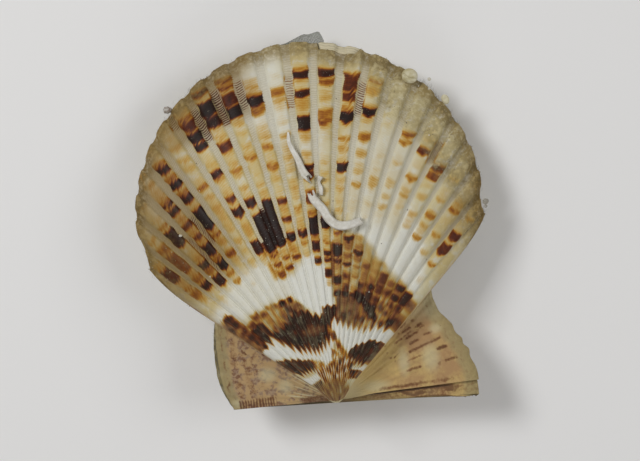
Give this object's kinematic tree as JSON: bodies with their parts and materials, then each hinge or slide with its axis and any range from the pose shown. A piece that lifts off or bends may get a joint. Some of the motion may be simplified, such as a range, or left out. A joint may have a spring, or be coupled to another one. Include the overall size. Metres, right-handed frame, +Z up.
{
  "type": "scallop shell",
  "caption": "Small closed ribbed scallop shell with two unequal ears, mottled brown and white, carrying worm tubes and fine growth on its upper valve.",
  "frame": {"origin": "centre of the shell's bounding box in X and Y, on the surface it rests on", "axes": "+Z up from the resting surface, +Y from the hinge to the far (ventral) edge, +X along the hinge towards the longer ear"},
  "size_m": [0.029, 0.0306, 0.0102],
  "materials": {
    "upper_shell": "satin",
    "lower_shell": "satin",
    "ligament": "satin",
    "worm_tube": "matte",
    "bead": "satin",
    "clear_growth": "gloss",
    "flake": "satin",
    "silt": "matte",
    "fuzz": "matte"
  },
  "bodies": {
    "root": {"upper_valve": "upper_shell", "lower_valve": "lower_shell", "hinge_ligament": "ligament", "worm_tube_upper": "worm_tube", "worm_tube_lower": "worm_tube", "worm_tube_stub": "worm_tube", "bead_upper": "bead", "bead_right": "bead", "clear_bead": "clear_growth", "nub_left": "clear_growth", "ventral_flake": "flake"}
  },
  "joints": []
}
